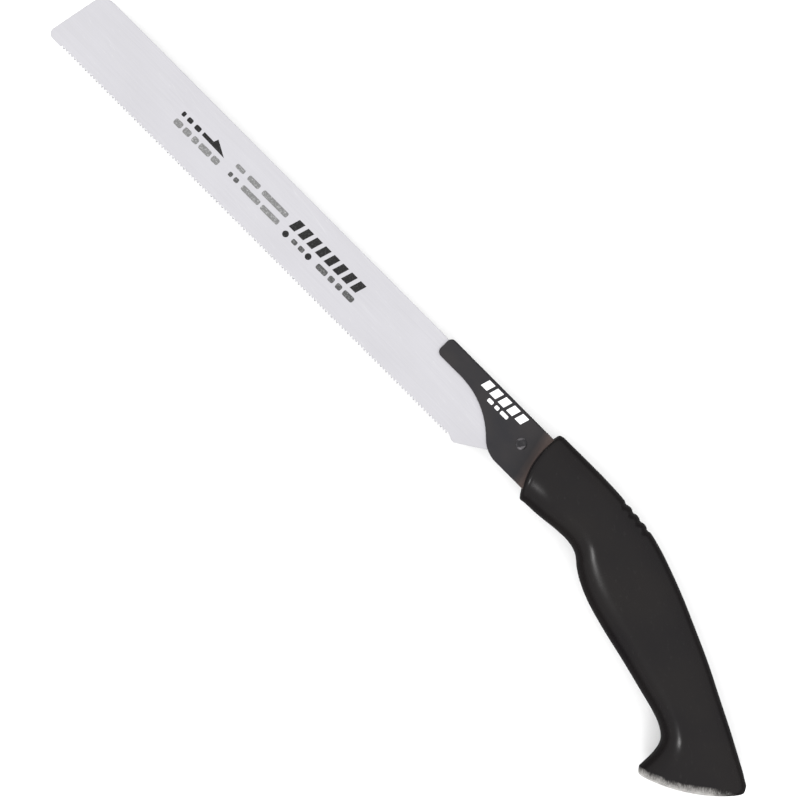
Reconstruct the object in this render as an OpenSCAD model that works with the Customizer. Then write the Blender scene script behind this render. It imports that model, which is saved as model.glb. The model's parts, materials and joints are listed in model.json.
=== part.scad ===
// Pistol-grip drywall saw with a replaceable pull-stroke blade.
// The saw lies on its side. +X runs from the blade's tip to the grip, +Y from the teeth to the spine
// of the blade, and +Z up out of the side. Lengths are in millimetres and angles in degrees.
// Every piece is drawn from the heel of the tooth line and the blade's mid-plane. placed() then
// moves it so that the origin is under the middle of the whole saw, on the surface it lies on.

/* [Blade] */
// Length of the toothed edge
toothed_len = 240; // [200:1:260]
// Plain length of the cutting edge between the last tooth and the tip
tip_plain = 7.5; // [5:0.5:15]
// Width of the blade from tooth points to spine
blade_w = 29.9; // [29:0.1:30.5]
// Thickness of the blade
blade_t = 0.7; // [0.5:0.05:0.8]
// Teeth per inch
teeth_per_inch = 15; // [8:1:18]
// Depth of the gullets
tooth_h = 1.1; // [0.6:0.1:1.6]
// How far the tip edge leans towards the grip
tip_lean = 10.8; // [0:0.1:20]
// Radius of the tip's corner at the teeth
tip_tooth_r = 2.8; // [1:0.1:4]
// Radius of the tip's corner at the spine
tip_spine_r = 7; // [2:0.5:10]
// Slope of the heel behind the last tooth
heel_slope = 33; // [30:0.5:36]

/* [Blade holder] */
// Thickness of the folded sheet
sheet_t = 1.1; // [0.9:0.05:1.3]
// Gap between the two leaves, which the blade goes into
leaf_gap = 0.9; // [0.85:0.05:1.1]
// How far the finger reaches over the blade, past the heel of the tooth line
finger_reach = 28.3; // [24:0.1:40]
// Height of the finger's lower edge above the tooth points
finger_y = 22.2; // [21:0.1:24]
// Height of the shoulder's lower edge above the tooth points
shoulder_y = 6.4; // [5:0.1:8]
// Width of the tang inside the grip
tang_w = 12; // [8:0.5:13]

/* [Pins] */
// Radius of the hook pin that the blade hangs on
hook_pin_r = 2; // [1.5:0.1:2.2]
// Radius of the hook pin's heads
hook_head_r = 2.6; // [2.5:0.1:3]
// Height of the hook pin's heads
hook_head_h = 0.5; // [0.3:0.1:0.8]
// Radius of the two pins that lock the tang in the grip
tang_pin_r = 2; // [1.5:0.1:2.5]
// Radial clearance of the blade's hook on its pin
hook_clear = 0.05; // [0.03:0.01:0.1]

/* [Grip] */
// Thickness of the grip between its two flat sides
grip_t = 27; // [25:0.5:30]
// Width of the hard core
core_w = 18; // [16:0.5:19]
// Thickness of the hard core
core_t = 16; // [12:0.5:18]
// Number of thumb grooves across the back
groove_count = 4; // [1:1:4]
// Distance from one thumb groove to the next
groove_pitch = 4.9; // [4.5:0.1:5.2]
// Depth of the thumb grooves
groove_depth = 0.6; // [0.2:0.1:0.8]

/* [Hidden] */
$fn = 48;

// Blade. The tail is round about the hook pin, so that it clears the holder's fold as it swings.
pin_at = [26.3, 20];
pitch = 25.4 / teeth_per_inch;
tooth_count = floor(toothed_len / pitch);
tooth_lean = 0.25;
heel_foot = [5, -0.5];
foot_len = 1.5;
tail_r = blade_w - pin_at[1];
heel_gap = (pin_at - heel_foot) * [-sin(heel_slope), cos(heel_slope)];
tail_end = heel_slope - 90 + acos(heel_gap / tail_r);
tip_low = [-toothed_len - tip_plain, 0];
tip_high = [tip_low[0] + blade_w * tan(tip_lean), blade_w];
hook_dir = 100;

// Holder. Its lower edge is an S of two arcs, which meet at the steepest slope.
end_r = 2.5;
s_start = -13.5;
s_slope = 43;
s_top_r = 38;
s_low_r = 14;
s_line = finger_y - shoulder_y - (s_top_r + s_low_r) * (1 - cos(s_slope));
s_end = s_start + (s_top_r + s_low_r) * sin(s_slope) + s_line / tan(s_slope);
fold_r = leaf_gap / 2 + sheet_t;
trim = 0.05;
holder_top = blade_w + fold_r + trim;
shoulder_end = 46;
neck_end = 51;

// Tang, spacer and core. Their centrelines run back from the shoulder and bend down with the grip.
tang_path = [[44, 18.9], [96, 13], [170, -17.2]];
spacer_path = [[53, 17.9], [96, 13], [169, -16.8]];
core_path = [[48, 18.4], [96, 13], [181, -21.6]];
core_end_r = 7;
front_pin_at = [62, 16.9];
rear_pin_at = [150, -9];
pin_clear = 0.02;

// Grip stations from front to back. Each is a line across the grip in the side view: its end on the
// back, its end on the fingers' side, what its thickness adds to half of grip_t, and its forward bow.
stations = [
    [[37.6, 35.2], [45.1, 2.75], -1.6, 2.9],
    [[50, 35.3], [54, 3.2], 0.2, 2],
    [[62, 35.3], [63, 4.2], 0.5, 0.8],
    [[72, 34.9], [71, 4.4], 0.4, 0],
    [[82, 34.1], [77, 2.7], 0.4, 0],
    [[92, 33], [82, -1.2], 0.5, 0],
    [[102, 30.6], [88, -4.8], 0.6, 0],
    [[112, 27.2], [97, -8.5], 0.7, 0],
    [[124, 22.6], [110, -12.1], 0.7, 0],
    [[138, 16.5], [124, -15.3], 0.6, 0],
    [[152, 10.2], [138, -18.8], 0.5, 0],
    [[166, 3.1], [150, -21.9], 0.5, 0],
    [[178, -2.9], [156.5, -24.5], 0.6, 0],
    [[188, -8.2], [160.9, -28.2], 0.7, -0.6],
    [[196, -12.5], [162.5, -34], 0.7, -1.6],
    [[201.4, -15.7], [162.4, -42.8], 0.5, -2.8]
];
last_station = len(stations) - 1;

// Sections are superellipses, squarer at the back than at the fingers. The roundings at the two ends
// are given as [inset in the side view, inset in thickness, length].
back_square = 3;
front_square = 2.3;
front_round = [2.8, 3.2, 2.8];
butt_round = [2.2, 4.5, 4.2];
ring_sides = 36;
end_steps = 4;

// Thumb grooves. The rings stand close together between these two stations, and wider elsewhere.
groove_first = 77.3;
groove_half = 2;
groove_wrap = [0.7, 0.86];
groove_zone = [3.3, 5.4];
ring_at = concat(
    [for (i = [0 : 8]) mix(0, groove_zone[0], i / 9)],
    [for (i = [0 : 23]) mix(groove_zone[0], groove_zone[1], i / 24)],
    [for (i = [0 : 28]) mix(groove_zone[1], last_station, i / 28)]
);

function unit(v) = v / norm(v);
function turned(v) = [-v[1], v[0]];
function mix(a, b, f) = a + (b - a) * f;
function smooth(f) = let (g = min(max(f, 0), 1)) g * g * (3 - 2 * g);
function signed_pow(v, e) = sign(v) * pow(abs(v), e);
function arc(c, r, a, b, n) = [for (i = [0 : n]) c + r * [cos(mix(a, b, i / n)), sin(mix(a, b, i / n))]];

// The arc of radius r that rounds the corner at b of the path a, b, c.
function rounded(a, b, c, r, n = 8) =
    let (
        u = unit(a - b),
        v = unit(c - b),
        half = acos(u * v) / 2,
        middle = b + unit(u + v) * r / sin(half),
        from = b + u * r / tan(half) - middle,
        to = b + v * r / tan(half) - middle,
        turn = atan2(from[0] * to[1] - from[1] * to[0], from * to),
        start = atan2(from[1], from[0])
    ) arc(middle, r, start, start + turn, n);

// The outline of a strip of the given width along a path of three points.
function strip(path, width) =
    let (
        d = [unit(path[1] - path[0]), unit(path[2] - path[1])],
        side = [turned(d[0]), unit(turned(d[0]) + turned(d[1])), turned(d[1])],
        reach = [width / 2, width / 2 / (side[1] * side[0]), width / 2]
    ) concat(
        [for (i = [0 : 2]) path[i] - side[i] * reach[i]],
        [for (i = [2 : -1 : 0]) path[i] + side[i] * reach[i]]
    );

// Catmull-Rom curve through a list of numbers or points, at the position f along it.
function along(list, f) =
    let (
        last = len(list) - 1,
        i = min(floor(f), last - 1),
        t = f - i,
        p1 = list[i],
        p2 = list[i + 1],
        p0 = i > 0 ? list[i - 1] : 2 * p1 - p2,
        p3 = i + 2 <= last ? list[i + 2] : 2 * p2 - p1
    ) p1 + (p2 - p0) * t / 2 + (2 * p0 - 5 * p1 + 4 * p2 - p3) * t * t / 2
        + (3 * (p1 - p2) + p3 - p0) * t * t * t / 2;

blade_outline = concat(
    [heel_foot],
    arc(pin_at, tail_r, tail_end, 90, 16),
    rounded([0, blade_w], tip_high, tip_low, tip_spine_r),
    rounded(tip_high, tip_low, [0, 0], tip_tooth_r),
    [for (i = [tooth_count : -1 : 0]) each [[-(i + tooth_lean) * pitch, 0], [-i * pitch, tooth_h]]],
    [heel_foot - [foot_len, 0]]
);
head_outline = concat(
    rounded([-finger_reach, holder_top], [-finger_reach, finger_y], [0, finger_y], end_r),
    arc([s_start, finger_y - s_top_r], s_top_r, 90, 90 - s_slope, 10),
    arc([s_end, shoulder_y + s_low_r], s_low_r, 270 - s_slope, 270, 8),
    [[shoulder_end, shoulder_y], [neck_end, shoulder_y + tang_w / 2]],
    [[neck_end, holder_top - tang_w / 2], [shoulder_end, holder_top]],
    rounded([0, holder_top], [-finger_reach, holder_top], [-finger_reach, finger_y], end_r)
);
core_strip = strip(core_path, core_w);
core_outline = concat(
    [core_strip[0], core_strip[1]],
    rounded(core_strip[1], core_strip[2], core_strip[3], core_end_r),
    rounded(core_strip[2], core_strip[3], core_strip[4], core_end_r),
    [core_strip[4], core_strip[5]]
);

function groove(x) = max([for (i = [0 : groove_count - 1])
    let (off = abs(x - groove_first - i * groove_pitch) / groove_half)
    off < 1 ? groove_depth * (1 + cos(180 * off)) / 2 : 0]);

// One ring of the grip: the section at station f, drawn in by the inset and moved along the grip.
function ring(f, inset = [0, 0], advance = 0) =
    let (
        back = along([for (s = stations) s[0]], f),
        front = along([for (s = stations) s[1]], f),
        half_t = grip_t / 2 + along([for (s = stations) s[2]], f) - inset[1],
        bow = along([for (s = stations) s[3]], f),
        across = unit(back - front),
        ahead = turned(across),
        half_w = norm(back - front) / 2 - inset[0],
        cut = groove(back[0])
    ) [for (i = [0 : ring_sides - 1])
        let (
            a = 360 * i / ring_sides,
            e = 2 / (cos(a) > 0 ? back_square : front_square),
            s = signed_pow(cos(a), e),
            z = signed_pow(sin(a), e) * half_t,
            wrap = smooth((s - groove_wrap[0]) / (groove_wrap[1] - groove_wrap[0])),
            in_plane = across * (s * half_w - cut * wrap) + ahead * (bow * (1 - s * s) + advance),
            p = (back + front) / 2 + in_plane
        ) [p[0], p[1], max(min(z, grip_t / 2), -grip_t / 2)]];

// One ring of an end's rounding. It is tighter in the side view than across the grip's thickness.
function end_ring(f, size, turn, way) =
    let (drawn_in = 1 - cos(turn))
    ring(f, [size[0] * drawn_in * drawn_in, size[1] * drawn_in], way * size[2] * sin(turn));

rings = concat(
    [for (i = [end_steps : -1 : 1]) end_ring(0, front_round, 90 * i / end_steps, 1)],
    [for (f = ring_at) ring(f)],
    [for (i = [1 : end_steps]) end_ring(last_station, butt_round, 90 * i / end_steps, -1)]
);
ring_points = [for (r = rings) each r];
x_all = concat([for (p = ring_points) p[0]], [for (p = blade_outline) p[0]]);
y_all = [for (p = ring_points) p[1]];
middle_at = [(min(x_all) + max(x_all)) / 2, (min(y_all) + max(y_all)) / 2];

module placed() {
    translate([-middle_at[0], -middle_at[1], grip_t / 2])
        children();
}

module plate(thickness) {
    translate([0, 0, -thickness / 2])
        linear_extrude(thickness)
            children();
}

module pin_bore(at, r) {
    translate([at[0], at[1], -grip_t / 2])
        cylinder(r = r, h = grip_t);
}

module blade() {
    color("gainsboro")
        placed()
            plate(blade_t)
                difference() {
                    polygon(blade_outline);
                    translate(pin_at)
                        circle(hook_pin_r + hook_clear);
                    translate(pin_at)
                        rotate(hook_dir)
                            translate([0, -hook_pin_r - hook_clear])
                                square([tail_r + 3, 2 * (hook_pin_r + hook_clear)]);
                }
}

// The side view of the holder, made as thick as the two leaves and the gap between them.
module holder_side() {
    plate(4 * fold_r) {
        polygon(head_outline);
        polygon(strip(tang_path, tang_w));
    }
}

// The folded sheet's section, along the whole holder. With no gap it is the room the holder takes.
module fold(gap) {
    low = tang_path[2][1] - tang_w;
    translate([-finger_reach - 1, 0, 0])
        rotate([90, 0, 90])
            linear_extrude(finger_reach + tang_path[2][0] + tang_w)
                difference() {
                    union() {
                        translate([low, -fold_r])
                            square([blade_w - low, 2 * fold_r]);
                        translate([blade_w, 0])
                            circle(fold_r);
                    }
                    if (gap > 0) {
                        translate([low - 1, -gap / 2])
                            square([blade_w - low + 1, gap]);
                        translate([blade_w, 0])
                            circle(gap / 2);
                    }
                }
}

module blade_holder() {
    color("#424244")
        placed()
            difference() {
                intersection() {
                    fold(leaf_gap);
                    holder_side();
                }
                pin_bore(pin_at, hook_pin_r + pin_clear);
                pin_bore(front_pin_at, tang_pin_r + pin_clear);
                pin_bore(rear_pin_at, tang_pin_r + pin_clear);
            }
}

module hook_pin() {
    head = fold_r + hook_head_h;
    half = [[0, head], [hook_head_r * 0.6, head], [hook_head_r, fold_r + hook_head_h / 3],
        [hook_head_r, fold_r], [hook_pin_r, fold_r]];
    color("#5a5a5c")
        placed()
            translate(pin_at)
                rotate_extrude()
                    polygon(concat([for (i = [4 : -1 : 0]) [half[i][0], half[i][1]]],
                        [for (p = half) [p[0], -p[1]]]));
}

module tang_spacer() {
    color("silver")
        placed()
            difference() {
                plate(leaf_gap)
                    polygon(strip(spacer_path, tang_w - 1));
                pin_bore(front_pin_at, tang_pin_r + pin_clear);
                pin_bore(rear_pin_at, tang_pin_r + pin_clear);
            }
}

module tang_pin(at) {
    color("darkgray")
        placed()
            translate([at[0], at[1], -core_t / 2])
                cylinder(r = tang_pin_r, h = core_t);
}

module tang_pin_front() {
    tang_pin(front_pin_at);
}

module tang_pin_rear() {
    tang_pin(rear_pin_at);
}

module core_block() {
    plate(core_t)
        polygon(core_outline);
}

module holder_room() {
    intersection() {
        fold(0);
        holder_side();
    }
}

module grip_core() {
    color("#2c2c2e")
        placed()
            difference() {
                core_block();
                holder_room();
                pin_bore(front_pin_at, tang_pin_r + pin_clear);
                pin_bore(rear_pin_at, tang_pin_r + pin_clear);
            }
}

module grip_body() {
    n = ring_sides;
    last = (len(rings) - 1) * n;
    walls = [for (j = [0 : len(rings) - 2], i = [0 : n - 1])
        let (a = j * n + i, b = j * n + (i + 1) % n)
        each [[a, b, b + n], [a, b + n, a + n]]];
    ends = [for (i = [0 : n / 2 - 1])
        let (a = i, b = i + 1, c = n - i - 1, d = (n - i) % n)
        each [[a, c, b], [a, d, c], [last + a, last + b, last + c], [last + a, last + c, last + d]]];
    polyhedron(ring_points, [for (f = concat(walls, ends))
        if (f[0] != f[1] && f[1] != f[2] && f[2] != f[0]) f]);
}

module grip_skin() {
    color("#2f2d2d")
        placed()
            difference() {
                grip_body();
                core_block();
                holder_room();
            }
}

blade();
blade_holder();
hook_pin();
tang_spacer();
tang_pin_front();
tang_pin_rear();
grip_core();
grip_skin();
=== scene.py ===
"""The drywall saw's looks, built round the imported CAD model.

Lengths in the tables are millimetres in the saw's own frame: x runs from the blade's tip to the grip,
y from the tooth points to the spine, and z up out of the side that lies uppermost. Its origin is the
heel of the tooth line, in the middle of the blade's thickness. at() turns such a point into metres in
the row frame, measured from the blade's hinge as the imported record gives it.
"""

import json
import math

import bmesh
import bpy
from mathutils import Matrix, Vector


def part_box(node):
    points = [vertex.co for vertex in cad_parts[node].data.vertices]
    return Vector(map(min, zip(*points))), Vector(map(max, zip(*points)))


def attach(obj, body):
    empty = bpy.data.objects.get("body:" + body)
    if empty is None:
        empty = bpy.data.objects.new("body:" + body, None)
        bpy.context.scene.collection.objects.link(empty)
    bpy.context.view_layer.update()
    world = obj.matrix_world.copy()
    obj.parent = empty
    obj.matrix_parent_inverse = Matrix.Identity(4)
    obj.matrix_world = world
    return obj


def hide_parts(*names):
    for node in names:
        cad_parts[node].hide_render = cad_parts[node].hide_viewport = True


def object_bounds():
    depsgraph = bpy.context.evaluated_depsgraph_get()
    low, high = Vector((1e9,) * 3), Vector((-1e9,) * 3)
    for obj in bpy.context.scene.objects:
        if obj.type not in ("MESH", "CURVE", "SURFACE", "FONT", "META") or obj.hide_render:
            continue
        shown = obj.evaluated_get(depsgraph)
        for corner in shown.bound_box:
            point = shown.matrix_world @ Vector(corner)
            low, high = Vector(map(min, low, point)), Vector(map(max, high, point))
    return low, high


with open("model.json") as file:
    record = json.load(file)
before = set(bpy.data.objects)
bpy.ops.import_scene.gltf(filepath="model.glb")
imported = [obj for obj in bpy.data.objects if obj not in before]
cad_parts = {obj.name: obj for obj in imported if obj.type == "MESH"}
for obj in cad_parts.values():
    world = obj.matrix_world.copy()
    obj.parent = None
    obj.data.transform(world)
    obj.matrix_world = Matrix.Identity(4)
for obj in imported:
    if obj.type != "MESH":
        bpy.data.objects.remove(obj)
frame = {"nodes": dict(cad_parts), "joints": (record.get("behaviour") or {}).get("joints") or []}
CAD_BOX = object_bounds()

MM = 0.001
HINGE = next(joint for joint in frame["joints"] if joint["name"] == "blade_swing")
PIN = Vector(HINGE["pos_m"])
PIN_AT = Vector((26.3, 20.0))


def thickness(node):
    """How thick a CAD node is, in millimetres."""
    low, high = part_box(node)
    return (high.z - low.z) / MM


# Blade
BLADE_W = 29.9
BLADE_T = thickness("blade")
TOOTH_PITCH = 25.4 / 15
TOOTH_COUNT = 141
TOOTH_H = 1.1
TOOTH_LEAN = 0.25
TOOTH_SET = 0.13
TOOTH_GRIND = 0.32
TIP_LOW = Vector((-247.5, 0.0))
TIP_HIGH = Vector((-247.5 + BLADE_W * math.tan(math.radians(10.8)), BLADE_W))
TIP_SPINE_R = 7.0
TIP_TOOTH_R = 2.8
HEEL_FOOT = Vector((5.0, -0.5))
HEEL_TOE = Vector((3.5, -0.5))
TAIL_R = BLADE_W - PIN_AT.y
TAIL_END = -1.4
SLOT_AIM = 100.0
SLOT_HALF_W = 2.05
BLADE_EDGE = 0.1

# Holder
HOLDER_HALF_T = thickness("blade_holder") / 2
HOLDER_LOW = 6.4
HOLDER_TOP = 31.5
HOLDER_EDGE = 0.16

# Outline of one end of the hook pin, from its middle outwards, as (radius, height).
HEAD_PROFILE = [
    (0.0, 1.74), (0.85, 1.76), (1.2, 1.9), (1.5, 2.02), (1.75, 2.05), (2.05, 2.0), (2.35, 1.84),
    (2.6, 1.64), (2.6, 1.56), (2.0, 1.55)
]

# The pin's rim shows bare steel at both ends of a line across it, turned this far from the X axis: wear,
# placed as painted highlights where the rim's glints fall. The patches start this far from a middle that
# is shifted along the line, and are complete a little further out.
PIN_GLINT_WEAR_TURN = -36
PIN_GLINT_WEAR_SHIFT = 0.3
PIN_GLINT_WEAR_FROM = 1.3
PIN_GLINT_WEAR_FADE = 0.45

# Grip stations from front to back: the section's end on the back of the grip, its end on the fingers'
# side, what its half thickness adds to half of GRIP_T, and its forward bow.
GRIP_T = thickness("grip_skin")
STATIONS = [
    ((37.6, 35.2), (45.1, 2.75), -1.6, 2.9),
    ((50, 35.3), (54, 3.2), 0.2, 2),
    ((62, 35.3), (63, 4.2), 0.5, 0.8),
    ((72, 34.9), (71, 4.4), 0.4, 0),
    ((82, 34.1), (77, 2.7), 0.4, 0),
    ((92, 33), (82, -1.2), 0.5, 0),
    ((102, 30.6), (88, -4.8), 0.6, 0),
    ((112, 27.2), (97, -8.5), 0.7, 0),
    ((124, 22.6), (110, -12.1), 0.7, 0),
    ((138, 16.5), (124, -15.3), 0.6, 0),
    ((152, 10.2), (138, -18.8), 0.5, 0),
    ((166, 3.1), (150, -21.9), 0.5, 0),
    ((178, -2.9), (156.5, -24.5), 0.6, 0),
    ((188, -8.2), (160.9, -28.2), 0.7, -0.6),
    ((196, -12.5), (162.5, -34), 0.7, -1.6),
    ((201.4, -15.7), (162.4, -42.8), 0.5, -2.8),
]
BACK = [Vector(station[0]) for station in STATIONS]
FRONT = [Vector(station[1]) for station in STATIONS]
FULLNESS = [station[2] for station in STATIONS]
BOW = [station[3] for station in STATIONS]
LAST = len(STATIONS) - 1

# The sections are superellipses with these powers. The roundings of the two ends are given as (inset in
# the side view, inset in thickness, length).
BACK_SQUARE = 3.0
FRONT_SQUARE = 2.3
FRONT_ROUND = (2.8, 3.2, 2.8)
BUTT_ROUND = (2.3, 4.5, 4.1)

# Thumb grooves: where they cross the back, their size, and the span of the section's half width in
# which they fade out on the grip's sides.
GROOVES = [77.3 + 4.9 * i for i in range(4)]
GROOVE_HALF_W = 2.0
GROOVE_DEPTH = 0.6
GROOVE_WRAP = (0.7, 0.86)

# The parting line is a fine V along the edge of the grip. It ends at the first of these shares of the
# half thickness, with one more ring of points at the second. PAD_BLEND is how close to a flat side the
# turn into it starts. SKIN_INSET keeps the smooth skin inside the faceted CAD one.
PARTING_DEPTH = 0.12
PARTING_SIDES = (0.02, 0.05)
PAD_BLEND = 0.8
SKIN_INSET = 0.04

# How fine the skin's mesh is: points round a section, and the step from section to section, in
# stations, with a smaller one at the grooves.
SECTION_SIDES = 104
FINE_STEPS = 2000
RING_STEP = 0.06
GROOVE_STEP = 0.014
GROOVE_ZONE = (3.2, 5.5)

# The mouth that the holder goes into. Its edge crosses the tooth line at MOUTH_EDGE, and lies nearer
# the blade's tip by MOUTH_SLOPE for each millimetre up from there. Its rings run from its deep end out
# to its lip, as (share of the way in from the grip's outline to the slot's, depth), and the shares of
# the rings after them spread over the front face.
MOUTH_GAP = 0.12
MOUTH_DEPTH = 5.0
MOUTH_EDGE = 41.0
MOUTH_SLOPE = 0.216
MOUTH_END_SQUARE = 6
MOUTH_RINGS = ((1, MOUTH_DEPTH), (1, 0.6), (1, 0.3), (0.995, 0.12), (0.985, 0.03), (0.96, 0))
FACE_SHARES = (0.88, 0.75, 0.6, 0.45, 0.3, 0.15)

# The butt's flat end: the shares of its rings towards its middle, how pale each ring is painted from just
# before the rounding to that middle (scuffs, and a painted highlight along the rounded edge), how much
# less the back is, and how far the grip's end points down from the X axis.
BUTT_SHARES = (0.1, 0.25, 0.4, 0.55, 0.7, 0.85)
BUTT_SCUFFS_AND_HIGHLIGHT = (0.1, 0.25, 0.4, 0.5, 0.6, 0.7, 0.8, 0.9, 1, 1, 1, 1, 0.85, 0.6, 0.48, 0.43, 0.4, 0.36, 0.3)
BACK_SPARED = 0.7
BUTT_TURN = 55

# Printed marks stand this far out of the surface, and reach this far into it.
INK_PROUD = 0.018
INK_SUNK = 0.01

# Colours of the black paint, in linear light, and of the brown residue on it at the grip's mouth,
# lightened there as painted light that offsets the shade the grip casts on the holder.
PAINT_DARK = (0.0145, 0.014, 0.0165, 1.0)
PAINT_PALE = (0.0205, 0.0185, 0.0195, 1.0)
RESIDUE_AND_PAINTED_LIGHT_FAR = (0.07, 0.05, 0.045, 1.0)
RESIDUE_AND_PAINTED_LIGHT_NEAR = (0.1, 0.072, 0.064, 1.0)

# How the room's brightness changes with height, as (from, to, brightness there, brightness there). It
# fades below the horizon, which only reflections see, because they pass through the floor.
ROOM_ABOVE = (0.0, 1.0, 0.9, 1.45)
ROOM_BELOW = (-0.25, 0.05, 0.15, 1.0)

# The lights: name, azimuth, elevation, distance and side in metres, watts, and whether reflections
# show it. Azimuth 0 stands on the +X side.
LIGHTS = (
    ("key", -115, 45, 1.3, 0.1, 5.2, True),
    ("butt_light", -50, 35, 1.3, 0.25, 2.5, True),
    ("fill", 46, 35, 1.5, 1.0, 9, False),
)

# The floor reaches this far each way, in metres. The camera looks straight down at a point of the
# saw's own frame, turned by so many degrees, and sees a square of CAMERA_VIEW metres.
FLOOR_REACH = 7
CAMERA_AIM = (-24.7, -4.0)
CAMERA_TURN = 45.1
CAMERA_DISTANCE = 1.4
CAMERA_VIEW = 0.35
CAMERA_SENSOR = 36


def at(x, y, z=0.0):
    """A point of the saw's own frame, in millimetres, as a point of the row frame in metres."""
    return PIN + Vector((x - PIN_AT.x, y - PIN_AT.y, z)) * MM


# ---------------------------------------------------------------- outlines and meshes


def arc(centre, radius, start, end, steps):
    """Points of an arc from one angle to another, in degrees."""
    turns = [math.radians(start + (end - start) * i / steps) for i in range(steps + 1)]
    return [Vector((centre[0] + radius * math.cos(t), centre[1] + radius * math.sin(t))) for t in turns]


def rounded(a, b, c, radius, steps=12):
    """The arc that rounds the corner at b of the path a, b, c."""
    u = (a - b).normalized()
    v = (c - b).normalized()
    half = u.angle(v) / 2
    middle = b + (u + v).normalized() * radius / math.sin(half)
    first = b + u * radius / math.tan(half) - middle
    last = b + v * radius / math.tan(half) - middle
    start = math.degrees(math.atan2(first.y, first.x))
    turn = math.degrees(math.atan2(first.x * last.y - first.y * last.x, first.dot(last)))
    return arc(middle, radius, start, start + turn, steps)


def inset(outline, amount):
    """An anticlockwise outline moved inwards by the same amount all round."""
    moved = []
    for i, point in enumerate(outline):
        before = (point - outline[i - 1]).normalized()
        after = (outline[(i + 1) % len(outline)] - point).normalized()
        left = Vector((-before.y, before.x))
        mitre = (left + Vector((-after.y, after.x))).normalized()
        moved.append(point + mitre * amount / max(mitre.dot(left), 0.35))
    return moved


def face(bm, corners):
    """A face through the corners, without the repeated ones. Two corners or fewer make none."""
    kept = [v for i, v in enumerate(corners) if v is not corners[i - 1]]
    if len(kept) > 2:
        bm.faces.new(kept)


def band(bm, lower, upper):
    """Faces between two closed rings of as many points each."""
    for i in range(len(lower)):
        j = (i + 1) % len(lower)
        face(bm, [lower[i], lower[j], upper[j], upper[i]])


def loft(bm, rings, first_tip, last_tip):
    """A closed skin through the rings, drawn together to a point at each end. Gives back its rings."""
    made = [[bm.verts.new(p) for p in ring] for ring in rings]
    for lower, upper in zip(made, made[1:]):
        band(bm, lower, upper)
    for ring, tip in ((made[0], bm.verts.new(first_tip)), (made[-1], bm.verts.new(last_tip))):
        for i in range(len(ring)):
            face(bm, [ring[i], ring[(i + 1) % len(ring)], tip])
    return made


def piece(name, bm, material, body, stands_for=None, smooth=False):
    """Turns the bmesh into a piece that rides on a CAD body."""
    bmesh.ops.recalc_face_normals(bm, faces=bm.faces)
    mesh = bpy.data.meshes.new(name)
    bm.to_mesh(mesh)
    bm.free()
    mesh.materials.append(material)
    mesh.polygons.foreach_set("use_smooth", [smooth] * len(mesh.polygons))
    obj = bpy.data.objects.new(name, mesh)
    bpy.context.scene.collection.objects.link(obj)
    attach(obj, body)
    if stands_for:
        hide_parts(stands_for)
    return obj


# ---------------------------------------------------------------- materials


class Surface:
    """A material round one Principled shader, with short ways to add the nodes that feed it."""

    def __init__(self, name, **constants):
        self.material = bpy.data.materials.new(name)
        self.material.use_nodes = True
        self.tree = self.material.node_tree
        self.shader = self.tree.nodes["Principled BSDF"]
        for socket, value in constants.items():
            self.shader.inputs[socket.replace("_", " ")].default_value = value
        self.place = self.tree.nodes.new("ShaderNodeTexCoord").outputs["Object"]

    def node(self, kind, inputs, **settings):
        """A new node. An input that is a socket is linked, and any other is set."""
        made = self.tree.nodes.new(kind)
        for key, value in settings.items():
            setattr(made, key, value)
        for key, value in inputs.items():
            if isinstance(value, bpy.types.NodeSocket):
                self.tree.links.new(value, made.inputs[key])
            else:
                made.inputs[key].default_value = value
        return made

    def grain(self, size, detail=2.0, turn=0.0):
        """Noise of about 0.5 on average, whose features are size millimetres long along x, y and z.

        They are turned clockwise about z by turn, in degrees.
        """
        scale = [1 / (s * MM) for s in size]
        rotation = (0, 0, math.radians(turn))
        turned = self.node("ShaderNodeMapping", {"Vector": self.place, "Rotation": rotation})
        scaled = self.node("ShaderNodeMapping", {"Vector": turned.outputs[0], "Scale": scale})
        inputs = {"Vector": scaled.outputs[0], "Scale": 1.0, "Detail": detail}
        return self.node("ShaderNodeTexNoise", inputs).outputs["Fac"]

    def remap(self, value, low, high, to_low, to_high):
        """The value carried from one range to another, and held inside it."""
        inputs = {"Value": value, "From Min": low, "From Max": high, "To Min": to_low, "To Max": to_high}
        return self.node("ShaderNodeMapRange", inputs).outputs["Result"]

    def maths(self, operation, a, b):
        """One step of arithmetic on two values."""
        return self.node("ShaderNodeMath", {0: a, 1: b}, operation=operation).outputs[0]

    def mix(self, factor, a, b):
        """Colour a where the factor is 0, and colour b where it is 1."""
        return self.node("ShaderNodeMix", {0: factor, 6: a, 7: b}, data_type="RGBA").outputs[2]

    def axis(self, name):
        """How far along X, Y or Z of the row frame a point is, in metres."""
        return self.node("ShaderNodeSeparateXYZ", {0: self.place}).outputs[name]

    def lines(self, size, turn, width):
        """Thin wandering lines, 1 on a line and 0 off it."""
        off_line = self.maths("SUBTRACT", self.grain(size, 1.0, turn), 0.5)
        return self.remap(self.maths("ABSOLUTE", off_line, 0.0), 0.0, width, 1.0, 0.0)

    def raise_by(self, *layers):
        """Bumps one height after another on the shader. Each layer is (height, depth in millimetres)."""
        normal = None
        for height, depth in layers:
            inputs = {"Height": height, "Distance": depth * MM, "Strength": 1.0}
            if normal:
                inputs["Normal"] = normal
            normal = self.node("ShaderNodeBump", inputs).outputs["Normal"]
        self.tree.links.new(normal, self.shader.inputs["Normal"])

    def feed(self, socket, value):
        """Links a value or colour that varies over the surface to the shader."""
        self.tree.links.new(value, self.shader.inputs[socket])


def grey(level, warm=0.0):
    """A grey, in linear light, tinted a little towards red or, below zero, towards blue."""
    return (level * (1 + warm), level, level * (1 - warm), 1.0)


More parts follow.
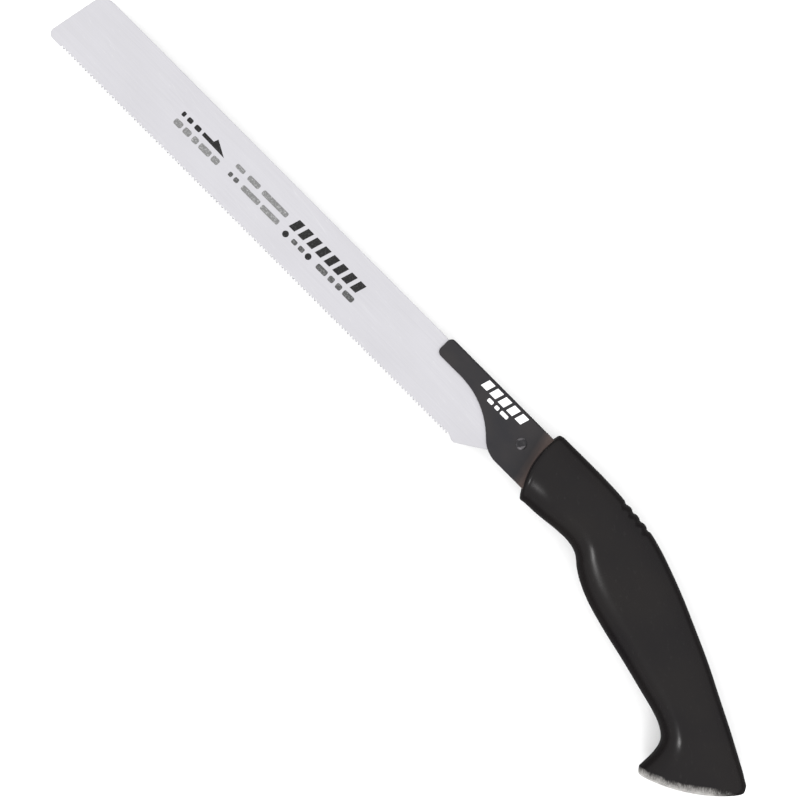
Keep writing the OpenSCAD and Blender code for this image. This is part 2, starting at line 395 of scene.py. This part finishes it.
def plated_steel():
    """The blade: thin pale plating over ground steel, brushed lengthwise and lightly scratched."""
    s = Surface("plated_steel", Metallic=0.85)
    brushing = s.grain((30, 0.35, 0.35), 3.0)
    fine = s.grain((9, 0.11, 0.11), 2.0)
    cloud = s.grain((28, 16, 16), 3.0)
    scratch = s.maths("MULTIPLY", s.lines((60, 1.6, 5), 9, 0.006), s.grain((12, 9, 9), 1.0))
    tone = s.maths("ADD", s.maths("MULTIPLY", brushing, 0.55), s.maths("MULTIPLY", cloud, 0.45))
    pale = s.mix(s.remap(tone, 0.35, 0.65, 0, 1), (0.474, 0.468, 0.492, 1.0), (0.506, 0.5, 0.526, 1.0))
    s.feed("Base Color", s.mix(s.maths("MULTIPLY", scratch, 0.5), pale, grey(0.66)))
    rough = s.remap(tone, 0.3, 0.7, 0.44, 0.34)
    s.feed("Roughness", s.maths("SUBTRACT", rough, s.maths("MULTIPLY", scratch, 0.1)))
    s.raise_by((brushing, 0.003), (fine, 0.0015))
    return s.material


def black_paint():
    """The holder: satin baked paint with a slight orange peel, rubbed on its edges, grimy brown at the
    grip and lightened there as painted light against the grip's shade.
    """
    s = Surface("black_paint", Specular_IOR_Level=0.22)
    peel = s.grain((1.3, 1.3, 1.3), 2.0)
    cloud = s.grain((14, 9, 9), 3.0)
    dust = s.grain((0.5, 0.5, 0.5), 1.0)
    edge = s.node("ShaderNodeAttribute", {}, attribute_name="worn").outputs["Fac"]
    chips = s.remap(s.grain((2.6, 1.1, 1.1), 3.0), 0.54, 0.66, 0, 1)
    worn = s.maths("MULTIPLY", edge, chips)
    paint = s.mix(s.remap(cloud, 0.35, 0.65, 0, 1), PAINT_DARK, PAINT_PALE)
    # Brown residue by the grip's mouth, lightened as painted light to offset the shade the grip casts.
    # The band nearest the mouth is mostly that painted light.
    along_mouth = s.maths("ADD", s.axis("X"), s.maths("MULTIPLY", s.axis("Y"), MOUTH_SLOPE))
    foot = at(MOUTH_EDGE, 0)
    edge_at = foot.x + foot.y * MOUTH_SLOPE
    near_grip = s.remap(along_mouth, edge_at - 5 * MM, edge_at - 1.5 * MM, 0, 0.75)
    residue_and_painted_light_far = s.maths("MULTIPLY", near_grip, s.remap(cloud, 0.3, 0.6, 0.5, 1))
    paint = s.mix(residue_and_painted_light_far, paint, RESIDUE_AND_PAINTED_LIGHT_FAR)
    residue_and_painted_light_near = s.remap(along_mouth, edge_at - 2.5 * MM, edge_at + 0.5 * MM, 0, 0.85)
    paint = s.mix(residue_and_painted_light_near, paint, RESIDUE_AND_PAINTED_LIGHT_NEAR)
    s.feed("Base Color", s.mix(worn, paint, grey(0.2)))
    dusty = s.maths("ADD", cloud, s.maths("MULTIPLY", dust, 0.5))
    s.feed("Roughness", s.remap(dusty, 0.4, 1.1, 0.36, 0.5))
    s.raise_by((peel, 0.012), (dust, 0.003))
    return s.material


def pin_steel():
    """The hook pin: painted over with the holder, with bare steel on two sides of its rim, as wear and as
    painted highlights where its glints fall.
    """
    s = Surface("pin_steel", Specular_IOR_Level=0.22)
    peel = s.grain((0.9, 0.9, 0.9), 2.0)
    glint_wear_noise = s.grain((0.7, 0.7, 0.7), 3.0)
    # Bare steel at two places on the rim: wear, and painted highlights for the rim's glints.
    turn = math.radians(PIN_GLINT_WEAR_TURN)
    along_x = s.maths("MULTIPLY", s.maths("SUBTRACT", s.axis("X"), PIN.x), math.cos(turn))
    along_y = s.maths("MULTIPLY", s.maths("SUBTRACT", s.axis("Y"), PIN.y), math.sin(turn))
    across = s.maths("ADD", along_x, along_y)
    off_middle = s.maths("ABSOLUTE", s.maths("ADD", across, PIN_GLINT_WEAR_SHIFT * MM), 0.0)
    ragged = s.maths("ADD", off_middle, s.remap(glint_wear_noise, 0.3, 0.7, -0.25 * MM, 0.25 * MM))
    worn = s.remap(ragged, PIN_GLINT_WEAR_FROM * MM, (PIN_GLINT_WEAR_FROM + PIN_GLINT_WEAR_FADE) * MM, 0, 1)
    paint = (0.017, 0.0162, 0.018, 1.0)
    steel = (0.113, 0.107, 0.113, 1.0)
    s.feed("Base Color", s.mix(worn, paint, steel))
    s.feed("Metallic", worn)
    s.feed("Roughness", s.remap(worn, 0, 1, 0.42, 0.36))
    s.raise_by((peel, 0.01))
    return s.material


def elastomer():
    """The grip's skin: satin black rubber with a fine moulded grain, pale at the butt with scuffs and a
    painted highlight along its rounded edge.
    """
    s = Surface("black_elastomer", Specular_IOR_Level=0.17)
    grain = s.grain((0.42, 0.42, 0.42), 2.0)
    ripple = s.grain((9, 9, 9), 2.0)
    cloud = s.grain((26, 20, 20), 4.0)
    scuffs = s.remap(s.grain((2.4, 1.2, 1.2), 4.0, 30), 0.62, 0.76, 0, 0.14)
    deep = (0.0052, 0.0042, 0.0048, 1.0)
    faded = (0.0076, 0.0062, 0.006, 1.0)
    black = s.mix(s.remap(cloud, 0.3, 0.7, 0, 1), deep, faded)
    black = s.mix(scuffs, black, grey(0.035, 0.05))
    # The pale band at the butt: scuffs, and a painted highlight along its rounded edge.
    fibres = s.grain((1.7, 0.3, 0.6), 3.0, BUTT_TURN)
    edge = s.node("ShaderNodeAttribute", {}, attribute_name="butt_scuffs_and_highlight").outputs["Fac"]
    edge = s.maths("MULTIPLY", edge, s.remap(s.grain((6, 4, 6), 2.0), 0.35, 0.6, 0.72, 1))
    scuff_and_highlight_band = s.remap(s.maths("ADD", edge, s.remap(fibres, 0.3, 0.7, -0.08, 0.08)), 0.35, 0.5, 0, 1)
    ragged = s.maths("ADD", edge, s.remap(fibres, 0.3, 0.7, -0.2, 0.2))
    pale = s.mix(s.remap(ragged, 0.45, 1.15, 0, 1), grey(0.07, 0.05), grey(0.45, 0.03))
    s.feed("Base Color", s.mix(scuff_and_highlight_band, black, pale))
    rough = s.remap(cloud, 0.3, 0.7, 0.22, 0.28)
    s.feed("Roughness", s.maths("ADD", rough, s.maths("MULTIPLY", scuff_and_highlight_band, 0.4)))
    s.raise_by((grain, 0.016), (ripple, 0.05))
    return s.material


def hard_plastic():
    """The core inside the grip: plain moulded plastic."""
    s = Surface("hard_plastic", Specular_IOR_Level=0.5)
    fleck = s.grain((1.1, 1.1, 1.1), 3.0)
    s.feed("Base Color", s.mix(fleck, grey(0.02), grey(0.035)))
    s.feed("Roughness", s.remap(fleck, 0.3, 0.7, 0.45, 0.6))
    s.raise_by((fleck, 0.01))
    return s.material


def bare_steel():
    """The spacer and the tang pins: rolled steel, unplated."""
    s = Surface("bare_steel", Metallic=1.0)
    rolled = s.grain((8, 0.4, 0.4), 3.0)
    stain = s.grain((5, 5, 5), 3.0)
    s.feed("Base Color", s.mix(s.remap(stain, 0.4, 0.7, 0, 1), grey(0.45), grey(0.3, 0.1)))
    s.feed("Roughness", s.remap(rolled, 0.3, 0.7, 0.3, 0.5))
    s.raise_by((rolled, 0.004))
    return s.material


def ink(name, level, thin):
    """Screen-printed ink, thinner in places, where the metal shows through."""
    s = Surface(name, Specular_IOR_Level=0.2)
    gaps = s.remap(s.grain((0.7, 0.7, 0.7), 3.0), 0.5, 0.75, 0, thin)
    s.feed("Base Color", s.mix(gaps, grey(level), grey(0.5)))
    s.feed("Roughness", s.remap(s.grain((1.5, 1.5, 1.5), 2.0), 0.3, 0.7, 0.4, 0.6))
    s.raise_by((gaps, 0.006))
    return s.material


def floor_paper():
    """The studio floor: matt white paper."""
    s = Surface("floor_paper", Specular_IOR_Level=0.1, Roughness=0.9)
    fibre = s.grain((3, 3, 3), 3.0)
    s.feed("Base Color", s.mix(fibre, grey(0.95), grey(0.97)))
    return s.material


# ---------------------------------------------------------------- the blade


def tooth_root(i):
    """The gullet between teeth i - 1 and i, counted from the heel."""
    return Vector((-i * TOOTH_PITCH, TOOTH_H))


def blade_rim():
    """The blade's outline without its teeth, anticlockwise from the first gullet at the heel."""
    mouth = math.degrees(math.asin(SLOT_HALF_W / TAIL_R))
    aim = Vector((math.cos(math.radians(SLOT_AIM)), math.sin(math.radians(SLOT_AIM))))
    far_side = PIN_AT + Vector((-aim.y, aim.x)) * SLOT_HALF_W
    spine_end = far_side + aim * (BLADE_W - far_side.y) / aim.y
    return (
        [HEEL_TOE, HEEL_FOOT]
        + arc(PIN_AT, TAIL_R, TAIL_END, SLOT_AIM - mouth, 24)
        + arc(PIN_AT, SLOT_HALF_W, SLOT_AIM - 90, SLOT_AIM - 270, 24)
        + [spine_end]
        + rounded(Vector((0, BLADE_W)), TIP_HIGH, TIP_LOW, TIP_SPINE_R, 16)
        + rounded(TIP_HIGH, TIP_LOW, Vector((0, 0)), TIP_TOOTH_R, 10)
        + [Vector((-(TOOTH_COUNT + TOOTH_LEAN) * TOOTH_PITCH, 0))]
    )


def teeth(bm, roots):
    """The teeth on their roots, (top, bottom) vertices. Each is set to one side and ground to a point."""
    for i in range(TOOTH_COUNT):
        side = 1 if i % 2 else -1
        x = -(i + TOOTH_LEAN) * TOOTH_PITCH
        points = []
        for level in (1, -1):
            ground = 0.0 if level == side else TOOTH_GRIND
            z = level * BLADE_T / 2 + side * TOOTH_SET
            points.append(bm.verts.new(at(x - ground * TOOTH_LEAN, ground, z)))
        top, bottom = points
        heel, toe = roots[i], roots[i + 1]
        face(bm, [heel[0], toe[0], top])
        face(bm, [toe[1], heel[1], bottom])
        face(bm, [heel[1], heel[0], top, bottom])
        face(bm, [toe[0], toe[1], bottom, top])


def blade():
    """The blade: a thin plate with its edges broken, its hook slot and its set teeth."""
    bm = bmesh.new()
    rim = blade_rim()
    gullets = [tooth_root(i) for i in range(TOOTH_COUNT, -1, -1)]
    outline = rim + gullets
    inner = inset(outline, BLADE_EDGE)[: len(rim)] + gullets
    half = BLADE_T / 2
    top = [bm.verts.new(at(p.x, p.y, half)) for p in inner]
    bottom = [bm.verts.new(at(p.x, p.y, -half)) for p in inner]
    upper = [bm.verts.new(at(p.x, p.y, half - BLADE_EDGE)) for p in rim] + top[len(rim) :]
    lower = [bm.verts.new(at(p.x, p.y, BLADE_EDGE - half)) for p in rim] + bottom[len(rim) :]
    bm.faces.new(top)
    bm.faces.new(bottom[::-1])
    edges = [len(outline) - 1] + list(range(len(rim)))
    for i in edges:
        j = (i + 1) % len(outline)
        face(bm, [upper[i], upper[j], top[j], top[i]])
        face(bm, [lower[i], lower[j], upper[j], upper[i]])
        face(bm, [bottom[i], bottom[j], lower[j], lower[i]])
    ends = list(zip(top, bottom))[len(rim) :]
    teeth(bm, ends[::-1])
    piece("blade_plate", bm, plated_steel(), "blade", "blade")


# ---------------------------------------------------------------- the holder and its pin


def holder():
    """The folded sheet, with its edges rounded off and its paint worn on them."""
    bm = bmesh.new()
    bm.from_mesh(frame["nodes"]["blade_holder"].data)
    bmesh.ops.remove_doubles(bm, verts=bm.verts, dist=1e-6)
    bmesh.ops.dissolve_limit(bm, angle_limit=math.radians(1), verts=bm.verts, edges=bm.edges)
    sharp = [e for e in bm.edges if e.is_manifold and e.calc_face_angle() > math.radians(50)]
    made = bmesh.ops.bevel(
        bm, geom=sharp, offset=HOLDER_EDGE * MM, offset_type="OFFSET", segments=3, profile=0.5,
        affect="EDGES", clamp_overlap=True
    )
    bm.faces.index_update()
    edge_faces = {f.index for f in made["faces"]}
    worn = bm.loops.layers.float.new("worn")
    for f in bm.faces:
        for loop in f.loops:
            loop[worn] = 1.0 if f.index in edge_faces else 0.0
    paint = black_paint()
    obj = piece("holder_sheet", bm, paint, "handle", "blade_holder", smooth=True)
    obj.data.set_sharp_from_angle(angle=math.radians(35))
    weighted = obj.modifiers.new("even_shading", "WEIGHTED_NORMAL")
    weighted.keep_sharp = True


def hook_pin():
    """The pin that the blade hangs on, riveted to a low ring at each end."""
    bm = bmesh.new()
    half = [Vector((r, z)) for r, z in HEAD_PROFILE]
    profile = half[1:] + [Vector((p.x, -p.y)) for p in reversed(half[1:])]
    rings = []
    for p in profile:
        rings.append([at(q.x, q.y, p.y) for q in arc(PIN_AT, p.x, 0, 360, 64)[:-1]])
    loft(bm, rings, at(PIN_AT.x, PIN_AT.y, half[0].y), at(PIN_AT.x, PIN_AT.y, -half[0].y))
    obj = piece("hook_pin_head", bm, pin_steel(), "handle", "hook_pin", smooth=True)
    obj.data.set_sharp_from_angle(angle=math.radians(50))


# ---------------------------------------------------------------- the grip


def along(values, f):
    """Catmull-Rom curve through the values, at the position f along them."""
    i = min(int(f), len(values) - 2)
    t = f - i
    p1 = values[i]
    p2 = values[i + 1]
    p0 = values[i - 1] if i > 0 else 2 * p1 - p2
    p3 = values[i + 2] if i + 2 < len(values) else 2 * p2 - p1
    bend = (2 * p0 - 5 * p1 + 4 * p2 - p3) * (t * t / 2)
    return p1 + (p2 - p0) * (t / 2) + bend + (3 * (p1 - p2) + p3 - p0) * (t**3 / 2)


def smooth_step(f):
    """0 up to 0, 1 from 1, and an even curve between them."""
    g = min(max(f, 0.0), 1.0)
    return g * g * (3 - 2 * g)


def held_in(z):
    """z kept inside the grip's flat sides, turning smoothly into them."""
    limit = GRIP_T / 2
    near = max(PAD_BLEND - abs(abs(z) - limit), 0.0) / PAD_BLEND
    return math.copysign(min(abs(z), limit) - near * near * PAD_BLEND / 4, z)


def groove(x):
    """Depth of the thumb grooves at x on the back of the grip."""
    deepest = 0.0
    for middle in GROOVES:
        off = abs(x - middle) / GROOVE_HALF_W
        if off < 1:
            deepest = GROOVE_DEPTH * (1 + math.cos(math.pi * off)) / 2
    return deepest


def section_sides():
    """Points round the grip's section, as fractions of its half width and half thickness.

    They are spaced evenly from the back (1, 0) to the fingers' side (-1, 0), with a few more close to
    the parting line, and then mirrored.
    """
    fine = []
    for i in range(FINE_STEPS + 1):
        turn = math.pi * i / FINE_STEPS
        power = 2 / (BACK_SQUARE if math.cos(turn) > 0 else FRONT_SQUARE)
        s = math.copysign(abs(math.cos(turn)) ** power, math.cos(turn))
        fine.append(Vector((s, abs(math.sin(turn)) ** power)))
    travel = [0.0]
    for a, b in zip(fine, fine[1:]):
        travel.append(travel[-1] + (b - a).length)
    half = []
    for i in range(1, SECTION_SIDES // 2):
        goal = travel[-1] * i / (SECTION_SIDES // 2)
        half.append(next(p for p, t in zip(fine, travel) if t >= goal))
    half = [p for p in half if p.y > 2 * PARTING_SIDES[-1]]
    at_back = [Vector(((1 - z**BACK_SQUARE) ** (1 / BACK_SQUARE), z)) for z in PARTING_SIDES]
    at_front = [Vector((-((1 - z**FRONT_SQUARE) ** (1 / FRONT_SQUARE)), z)) for z in PARTING_SIDES]
    half = at_back + half + at_front[::-1]
    return [Vector((1, 0))] + half + [Vector((-1, 0))] + [Vector((p.x, -p.y)) for p in reversed(half)]


SIDES = section_sides()


class Section:
    """One cross-section of the grip, at the station f. It can be drawn in, and moved along the grip."""

    def __init__(self, f, narrower=0.0, thinner=0.0, advance=0.0):
        back = along(BACK, f)
        front = along(FRONT, f)
        self.middle = (back + front) / 2
        self.across = (back - front).normalized()
        self.ahead = Vector((-self.across.y, self.across.x))
        self.half_w = (back - front).length / 2 - narrower - SKIN_INSET
        self.half_t = GRIP_T / 2 + along(FULLNESS, f) - thinner
        self.bow = along(BOW, f)
        self.advance = advance
        self.cut = groove(back.x)

    def point(self, s, z, sink=0.0):
        """The point at s of the half width and z millimetres up, sunk towards the section's middle."""
        wrap = smooth_step((s - GROOVE_WRAP[0]) / (GROOVE_WRAP[1] - GROOVE_WRAP[0]))
        in_from_edge = self.cut * wrap + math.copysign(sink, s)
        p = self.middle + self.across * (s * self.half_w - in_from_edge)
        p = p + self.ahead * (self.bow * (1 - s * s) + self.advance)
        return at(p.x, p.y, z)

    def ring(self):
        """All the points round the section."""
        return [self.point(p.x, held_in(p.y * self.half_t), 0 if p.y else PARTING_DEPTH) for p in SIDES]

    def patch(self, targets, t):
        """The section's points drawn a share t of the way to their targets, given as (s, z)."""
        points = []
        for p, (s, z) in zip(SIDES, targets):
            points.append(self.point(p.x + (s - p.x) * t, p.y * self.half_t * (1 - t) + z * t))
        return points


def rounding(f, size, way, steps=10):
    """Sections that round off an end of the grip. It is tighter in the side view than across."""
    made = []
    for i in range(1, steps + 1):
        turn = math.pi / 2 * i / steps
        drawn_in = 1 - math.cos(turn)
        made.append(Section(f, size[0] * drawn_in**2, size[1] * drawn_in, way * size[2] * math.sin(turn)))
    return made


def mouth_targets(section):
    """The slot that the holder goes into, on the front of the grip: an (s, z) for each of SIDES."""
    reach = section.half_w * section.across.y
    drop = section.ahead.y * section.advance
    high = (HOLDER_TOP + MOUTH_GAP - section.middle.y - drop) / reach
    low = (HOLDER_LOW - MOUTH_GAP - section.middle.y - drop) / reach
    low = low - section.ahead.y * section.bow * (1 - low * low) / reach
    high = high - section.ahead.y * section.bow * (1 - high * high) / reach
    targets = []
    for p in SIDES:
        s = (high + low) / 2 + (high - low) / 2 * p.x
        z = (HOLDER_HALF_T + MOUTH_GAP) * min(max(MOUTH_END_SQUARE * p.y, -1), 1)
        targets.append((s, z))
    return targets


def ring_places():
    """Where the full sections stand along the grip: close together at the thumb grooves."""
    places = [0.0]
    while places[-1] < LAST:
        close = GROOVE_ZONE[0] < places[-1] < GROOVE_ZONE[1]
        places.append(min(places[-1] + (GROOVE_STEP if close else RING_STEP), LAST))
    return places


def grip():
    """The moulded skin, with the mouth that the holder goes into and its butt, painted pale with scuffs
    and a highlight along its edge.
    """
    bm = bmesh.new()
    scuffs = bm.verts.layers.float.new("butt_scuffs_and_highlight")
    nose = rounding(0, FRONT_ROUND, 1)
    flat = nose[-1]
    targets = mouth_targets(flat)
    rings = []
    for share, depth in MOUTH_RINGS:
        flat.advance -= depth
        rings.append(flat.patch(targets, share))
        flat.advance += depth
    rings += [flat.patch(targets, share) for share in FACE_SHARES]
    rings += [section.ring() for section in reversed(nose)]
    rings += [Section(f).ring() for f in ring_places()]
    butt = rounding(LAST, BUTT_ROUND, -1)
    rings += [section.ring() for section in butt]
    centre = [(0.0, 0.0)] * len(SIDES)
    rings += [butt[-1].patch(centre, share) for share in BUTT_SHARES]
    middle = sum(s for s, z in targets) / len(targets)
    deep = Section(0, FRONT_ROUND[0], FRONT_ROUND[1], FRONT_ROUND[2] - MOUTH_DEPTH)
    skin = loft(bm, rings, deep.point(middle, 0), butt[-1].point(0, 0))
    # How pale each ring is painted at the butt: scuffs, and a painted highlight on the rounded edge.
    for ring, amount in zip(skin[::-1], BUTT_SCUFFS_AND_HIGHLIGHT[::-1]):
        for vert, side in zip(ring, SIDES):
            vert[scuffs] = amount * (1 - BACK_SPARED * smooth_step((side.x - 0.2) / 0.8))
    rubber = elastomer()
    piece("grip_skin_moulded", bm, rubber, "handle", "grip_skin", smooth=True)


# ---------------------------------------------------------------- printed marks


def dash(x0, x1, y0, y1):
    """A bar with rounded corners."""
    r = min(x1 - x0, y1 - y0) * 0.3
    corners = [Vector((x1, y0)), Vector((x1, y1)), Vector((x0, y1)), Vector((x0, y0))]
    outline = []
    for i in range(4):
        outline += rounded(corners[i - 1], corners[i], corners[(i + 1) % 4], r, 4)
    return outline


def slant(x, width, y0, y1):
    """A bold bar that leans towards the grip."""
    lean = (y1 - y0) * 0.3
    return [Vector(p) for p in ((x, y0), (x + width, y0), (x + width + lean, y1), (x + lean, y1))]


def disc(x, y, r):
    """A round dot."""
    return arc((x, y), r, 0, 360, 24)[:-1]


def printed(name, body, level, outlines, material):
    """Marks printed on a flat face at the height level, each a thin prism."""
    bm = bmesh.new()
    for outline in outlines:
        top = [bm.verts.new(at(p.x, p.y, level + INK_PROUD)) for p in outline]
        bottom = [bm.verts.new(at(p.x, p.y, level - INK_SUNK)) for p in outline]
        bm.faces.new(top)
        bm.faces.new(bottom[::-1])
        band(bm, bottom, top)
    piece(name, bm, material, body)


def blade_marks():
    """Plain bars, dots and a pull arrow in place of the printing on the blade."""
    arrow = [(-168, 16.4), (-154, 16.1), (-161.4, 20.2), (-162.2, 18.1), (-168, 18.2)]
    black = [dash(-180.8, -179, 16.3, 18.5), dash(-177.4, -174.6, 16.2, 18.4)]
    black += [dash(-172.8, -169.6, 16.1, 18.4), [Vector(p) for p in arrow]]
    black += [slant(-113 + 5.4 * i, 3.5, 15.2, 20.6) for i in range(8)]
    black += [disc(-111.5, 11.8, 1.5), disc(-97.5, 11.8, 1.5)]
    dark = [dash(-147.9, -145.9, 12.1, 14.2), dash(-144.6, -142.2, 12.0, 14.2)]
    dark += [dash(x, x + w, 10.6, 13.2) for x, w in ((-92.2, 6), (-84.8, 3), (-80.2, 3), (-75.8, 6))]
    dark += [dash(-107.6, -104.8, 10.9, 13), dash(-103.4, -100.4, 10.8, 13)]
    row = ((-181, 4.4), (-175.4, 4), (-170, 3.2), (-165.6, 6.5), (-158, 4))
    pale = [dash(x, x + w, 11.3, 14.2) for x, w in row]
    pale += [dash(-148, -143, 16.9, 19), dash(-140.6, -133.8, 16.7, 19.2)]
    pale += [dash(-131.6, -116.4, 16.6, 19.1)]
    pale += [dash(-139.6, -129, 11.7, 14.2), dash(-127.6, -117, 11.6, 14.1)]
    face_z = BLADE_T / 2
    printed("blade_marks_black", "blade", face_z, black, ink("ink_black", 0.008, 0.06))
    printed("blade_marks_dark", "blade", face_z, dark, ink("ink_dark_grey", 0.06, 0.3))
    printed("blade_marks_grey", "blade", face_z, pale, ink("ink_grey", 0.15, 0.6))


def holder_marks():
    """Plain white bars in place of the printing on the holder."""
    bars = [slant(-4.4 + 5.2 * i, 3.6, 25.7, 29.9) for i in range(5)]
    bars += [dash(x, x + w, 22.7, 24.4) for x, w in ((2.2, 3), (6.6, 2.2), (10, 4.2))]
    printed("holder_marks", "handle", HOLDER_HALF_T, bars, ink("ink_white", 0.8, 0.15))


# ---------------------------------------------------------------- the studio


def studio_floor():
    """A large sheet of paper under the saw."""
    bm = bmesh.new()
    low = CAD_BOX[0].z
    corners = [(-1, -1), (1, -1), (1, 1), (-1, 1)]
    bm.faces.new([bm.verts.new((x * FLOOR_REACH, y * FLOOR_REACH, low)) for x, y in corners])
    mesh = bpy.data.meshes.new("floor")
    bm.to_mesh(mesh)
    bm.free()
    mesh.materials.append(floor_paper())
    floor = bpy.data.objects.new("floor", mesh)
    bpy.context.scene.collection.objects.link(floor)
    floor.visible_glossy = False


def softbox(name, azimuth, elevation, distance, side, watts, reflected):
    """A square area light that faces the middle of the saw."""
    a = math.radians(azimuth)
    e = math.radians(elevation)
    out = Vector((math.cos(a) * math.cos(e), math.sin(a) * math.cos(e), math.sin(e)))
    light = bpy.data.lights.new(name, "AREA")
    light.shape = "SQUARE"
    light.size = side
    light.energy = watts
    lamp = bpy.data.objects.new(name, light)
    lamp.location = (CAD_BOX[0] + CAD_BOX[1]) / 2 + out * distance
    lamp.rotation_mode = "QUATERNION"
    lamp.rotation_quaternion = (-out).to_track_quat("-Z", "Y")
    lamp.visible_camera = False
    lamp.visible_glossy = reflected
    bpy.context.scene.collection.objects.link(lamp)


def lights():
    """A white room, brighter overhead, with three lights.

    They are a small key light by the fingers, a weaker one off the butt, and a large soft one that
    lightens the shadow behind the grip and isn't seen in reflections.
    """
    world = bpy.data.worlds.new("room")
    world.use_nodes = True
    tree = world.node_tree
    height = tree.nodes.new("ShaderNodeSeparateXYZ")
    tree.links.new(tree.nodes.new("ShaderNodeTexCoord").outputs["Generated"], height.inputs[0])
    room = tree.nodes.new("ShaderNodeMath")
    room.operation = "MULTIPLY"
    for socket, steps in zip(room.inputs, (ROOM_ABOVE, ROOM_BELOW)):
        bright = tree.nodes.new("ShaderNodeMapRange")
        for name, value in zip(("From Min", "From Max", "To Min", "To Max"), steps):
            bright.inputs[name].default_value = value
        tree.links.new(height.outputs["Z"], bright.inputs["Value"])
        tree.links.new(bright.outputs["Result"], socket)
    background = tree.nodes["Background"]
    background.inputs["Color"].default_value = (1.0, 1.0, 1.0, 1.0)
    tree.links.new(room.outputs[0], background.inputs["Strength"])
    bpy.context.scene.world = world
    for light in LIGHTS:
        softbox(*light)
    bpy.context.scene.view_settings.view_transform = "Standard"


def camera():
    """Straight down on the saw's side, turned as the photograph is."""
    lens = bpy.data.cameras.new("camera")
    lens.sensor_width = CAMERA_SENSOR
    lens.lens = CAMERA_SENSOR * CAMERA_DISTANCE / CAMERA_VIEW
    lens.clip_start = 0.05
    obj = bpy.data.objects.new("camera", lens)
    obj.location = at(*CAMERA_AIM) + Vector((0, 0, CAMERA_DISTANCE))
    obj.rotation_euler = (0, 0, math.radians(CAMERA_TURN))
    bpy.context.scene.collection.objects.link(obj)
    bpy.context.scene.camera = obj


def hidden_parts():
    """Materials for the CAD nodes inside the grip, which stay as they are."""
    steel = bare_steel()
    for name in ("tang_spacer", "tang_pin_front", "tang_pin_rear"):
        repaint(name, steel)
    repaint("grip_core", hard_plastic())


def repaint(name, material):
    """Gives a CAD node the material."""
    mesh = frame["nodes"][name].data
    mesh.materials.clear()
    mesh.materials.append(material)


camera()
lights()
studio_floor()
blade()
holder()
hook_pin()
grip()
hidden_parts()
blade_marks()
holder_marks()

bpy.context.view_layer.update()
